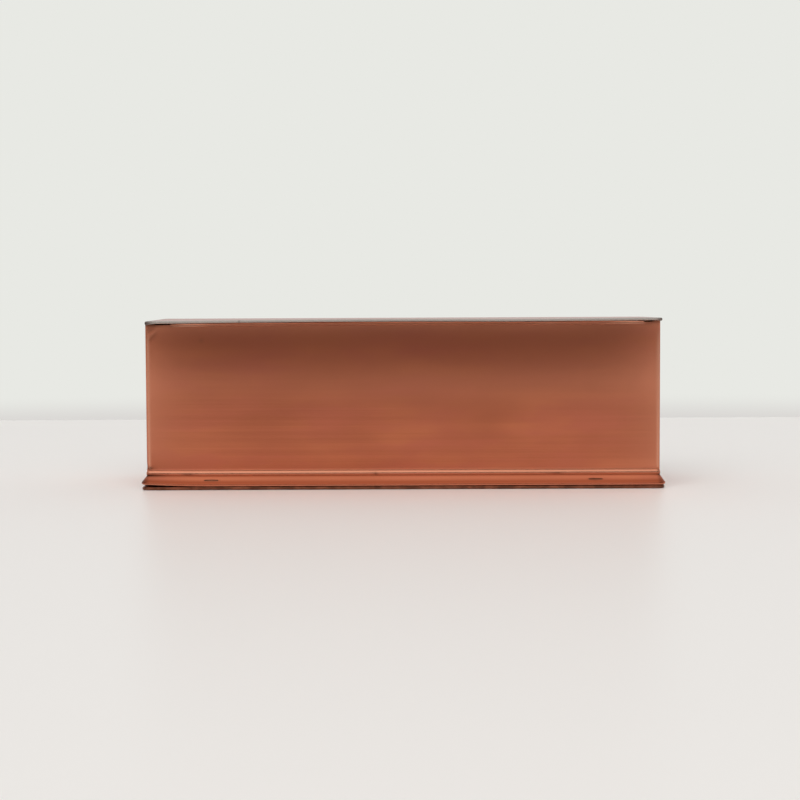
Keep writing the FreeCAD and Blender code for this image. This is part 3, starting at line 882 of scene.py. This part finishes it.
def add_lid_edge(skin, columns, top, half, front):
    """The rounded nose of the lid's edge, and the hem folded in under it."""
    angles = [i * math.pi / NOSE_STEPS for i in range(NOSE_STEPS + 1)]
    path = [Vector((LID_HEM * math.sin(a), top - LID_HEM * (1 - math.cos(a)))) for a in angles]
    hem = [1.5 * MM, 3.5 * MM, LID_HEM_REACH - LID_HEM - T2]
    path += [Vector((-d, top - 2 * LID_HEM)) for d in hem]
    angles += [math.pi] * len(hem)
    for column in columns:
        travelled = 0.0
        left = bump_at(math.hypot(column.x + half, column.y - front), 0, 4 * MM)
        right = bump_at(math.hypot(column.x - half, column.y - front), 0, 3 * MM)
        thicker = 1 + 0.8 * left + 0.3 * right
        dent = bump_at(column.x, LID_MARK_X, 0.5 * MM)
        for i, (p, angle) in enumerate(zip(path, angles)):
            way = Vector((math.sin(angle), math.cos(angle)))
            out = max(p.x, -column.inset)
            travelled += (p - path[max(i - 1, 0)]).length
            skin.add(
                (
                    column.x + column.out[0] * out + trim(column.x),
                    column.y + column.out[1] * out,
                    top - (top - p.y) * thicker + lid_bow(column.x, column.y),
                ),
                (column.out[0] * way.x, column.out[1] * way.x, way.y),
                (column.along, travelled),
                # painted shade at the lid's front corners, a small dark mark, and a painted sheen on
                # the nose
                grime=clamped(0.75 * left + 0.6 * right + 0.6 * dent),
                grey=1.0 if i <= NOSE_STEPS else 0.0,
            )
    count = len(path)
    for i in range(len(columns) - 1):
        for j in range(count - 1):
            a = i * count + j
            skin.quads.append((a, a + 1, a + count + 1, a + count))


def add_lid_top(skin, xs, ys, top, front):
    """The lid's flat top. Its painted sheen fades away from the front edge."""
    start, count = len(skin.points), len(ys)
    for x in xs:
        for y in ys:
            grey = 0.18 + 0.82 * near(y - front, 5 * MM)
            skin.add((x + trim(x), y, top + lid_bow(x, y)), (0, 0, 1), (x, y), grey=grey)
    for i in range(len(xs) - 1):
        for j in range(count - 1):
            a = start + i * count + j
            skin.quads.append((a, a + count, a + count + 1, a + 1))


# ---- stage --------------------------------------------------------------------------
FLOOR_BACK = FACE_Y + 0.75
FLOOR_FRONT = -2.2
FLOOR_SIDE = 3.0
FLOOR_WHITE = (0.87, 0.85, 0.83, 1)

WALL_FOOT_WHITE = (0.69, 0.67, 0.65, 1)
WALL_WHITE = (0.807, 0.815, 0.776, 1)
ROOM_FRONT = (0.36, 0.36, 0.36, 1)
ROOM_REAR = (0.74, 0.74, 0.73, 1)
ROOM_TOP = (0.85, 0.85, 0.85, 1)
ROOM_DIM = (0.04, 0.04, 0.04, 1)
SOFTBOX = (3.45, 3.37, 3.28, 1)
SOFTBOX_GLOSS = (1.15, 1.13, 1.10, 1)
SOFTBOX_WAY = (-0.12, -0.76, 0.64)

CAMERA_DISTANCE = 1.133  # in front of the face
CAMERA_HEIGHT = 0.126
CAMERA_DOWN = math.radians(3.163)
CAMERA_YAW = math.radians(0.107)
CAMERA_ROLL = math.radians(-0.25)


def make_floor():
    corners = [
        (-FLOOR_SIDE, FLOOR_FRONT, 0),
        (FLOOR_SIDE, FLOOR_FRONT, 0),
        (FLOOR_SIDE, FLOOR_BACK, 0),
        (-FLOOR_SIDE, FLOOR_BACK, 0),
    ]
    mesh = bpy.data.meshes.new("floor")
    mesh.from_pydata(corners, [], [(0, 1, 2, 3)])
    floor = bpy.data.objects.new("floor", mesh)
    bpy.context.scene.collection.objects.link(floor)
    material, nodes, shader = new_material("floor_white")
    nodes.feed(shader, {"Base Color": FLOOR_WHITE, "Roughness": 0.38, "IOR": 1.45})
    nodes.feed(shader, {"Specular IOR Level": 0.2})
    mesh.materials.append(material)


def make_world():
    """Pale studio with a broad soft light in front and above. The camera sees its plain wall.

    A stretch of room ahead of the box is dim, and shows in its face. The softbox that lights matt
    surfaces is brighter than the one that shows in the metal.
    """
    world = bpy.data.worlds.new("studio")
    bpy.context.scene.world = world
    world.use_nodes = True
    nodes = Nodes(world.node_tree)
    rays = nodes.add("ShaderNodeLightPath").outputs
    direction = nodes.add("ShaderNodeTexCoord").outputs["Generated"]
    split = nodes.add("ShaderNodeSeparateXYZ")
    nodes.feed(split, {"Vector": direction})
    dx, dy, dz = split.outputs

    room = nodes.mix(nodes.ramp(dy, -0.1, 0.35), ROOM_FRONT, ROOM_REAR)
    glossy = nodes.math("SUBTRACT", 1.0, rays["Is Diffuse Ray"])
    room = nodes.mix(nodes.math("MULTIPLY", glossy, nodes.ramp(dz, 0.5, 0.95)), room, ROOM_TOP)

    towards = nodes.add("ShaderNodeVectorMath", operation="DOT_PRODUCT")
    nodes.feed(towards, {0: direction, 1: SOFTBOX_WAY})
    scattered = nodes.math("MINIMUM", rays["Diffuse Depth"], 1.0)
    softbox = nodes.mix(scattered, SOFTBOX_GLOSS, SOFTBOX)
    room = nodes.mix(nodes.ramp(towards.outputs["Value"], 0.72, 0.94), room, softbox)

    low = nodes.ramp(dz, -0.02, 0.06)
    high = nodes.ramp(dz, 0.12, 0.36, 1.0, 0.0)
    middle = nodes.ramp(nodes.math("ABSOLUTE", dx), 0.30, 0.90, 1.0, 0.0)
    ahead = nodes.ramp(dy, -0.3, 0.0, 1.0, 0.0)
    level = nodes.math("MULTIPLY", low, high)
    dim = nodes.math("MULTIPLY", level, nodes.math("MULTIPLY", middle, ahead))
    room = nodes.mix(dim, room, ROOM_DIM)

    wall = nodes.mix(nodes.ramp(dz, -0.069, -0.050), WALL_FOOT_WHITE, WALL_WHITE)
    background = nodes.add("ShaderNodeBackground")
    seen = nodes.mix(rays["Is Camera Ray"], room, wall)
    nodes.feed(background, {"Color": seen, "Strength": 1.0})
    output = nodes.add("ShaderNodeOutputWorld")
    nodes.feed(output, {"Surface": background.outputs["Background"]})


def make_camera():
    data = bpy.data.cameras.new("camera")
    data.lens = 72
    data.sensor_width = 36
    data.clip_start = 0.01
    data.clip_end = 50
    camera = bpy.data.objects.new("camera", data)
    bpy.context.scene.collection.objects.link(camera)
    turn = Matrix.Rotation(CAMERA_YAW, 3, "Z")
    turn = turn @ Matrix.Rotation(math.pi / 2 - CAMERA_DOWN, 3, "X")
    turn = turn @ Matrix.Rotation(CAMERA_ROLL, 3, "Z")
    camera.rotation_euler = turn.to_euler()
    camera.location = (0, FACE_Y - CAMERA_DISTANCE, CAMERA_HEIGHT)
    bpy.context.scene.camera = camera


def finish_cad_nodes():
    """Gives each CAD node the material of the first word found in its name, or plain copper."""
    inner_copper = copper("copper_sheet_inner", on_sheet=False)
    # painted shade: the base plate and the clips are dark brown for the shadow they lie in
    shade_brown_copper = painted_shade_copper("copper_sheet_painted_shade")
    brass = ((0.45, 0.27, 0.09, 1), (0.72, 0.50, 0.22, 1), 0.33)
    steel = ((0.38, 0.38, 0.38, 1), (0.60, 0.60, 0.60, 1), 0.30)
    zinc = ((0.42, 0.43, 0.44, 1), (0.62, 0.63, 0.64, 1), 0.42, (300, 300, 300))
    finishes = {
        "rivets": copper("copper_rivet_satin", on_sheet=False, rough=0.34),
        "base_plate": shade_brown_copper,
        "front_clip": shade_brown_copper,
        "hinge_pin": plain_metal("pin_steel_satin", *steel),
        "hinge": plain_metal("hinge_brass_satin", *brass),
        "keyhole_plate": plain_metal("zinc_plate", *zinc),
    }
    for name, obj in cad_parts.items():
        words = [word for word in finishes if word in name]
        for slot in obj.material_slots:
            slot.material = finishes[words[0]] if words else inner_copper


def main():
    bpy.context.scene.view_settings.view_transform = "Standard"
    make_camera()
    make_world()
    make_floor()
    finish_cad_nodes()
    # the sheets' copper, whose tints are mostly painted highlights and shade
    sheet_copper = copper("copper_sheet_with_painted_light")
    assembled("wrap", wrap_mesh(), sheet_copper, "box", "body_wrap")
    assembled("lid", lid_mesh(), sheet_copper, "lid", "lid_panel")


main()
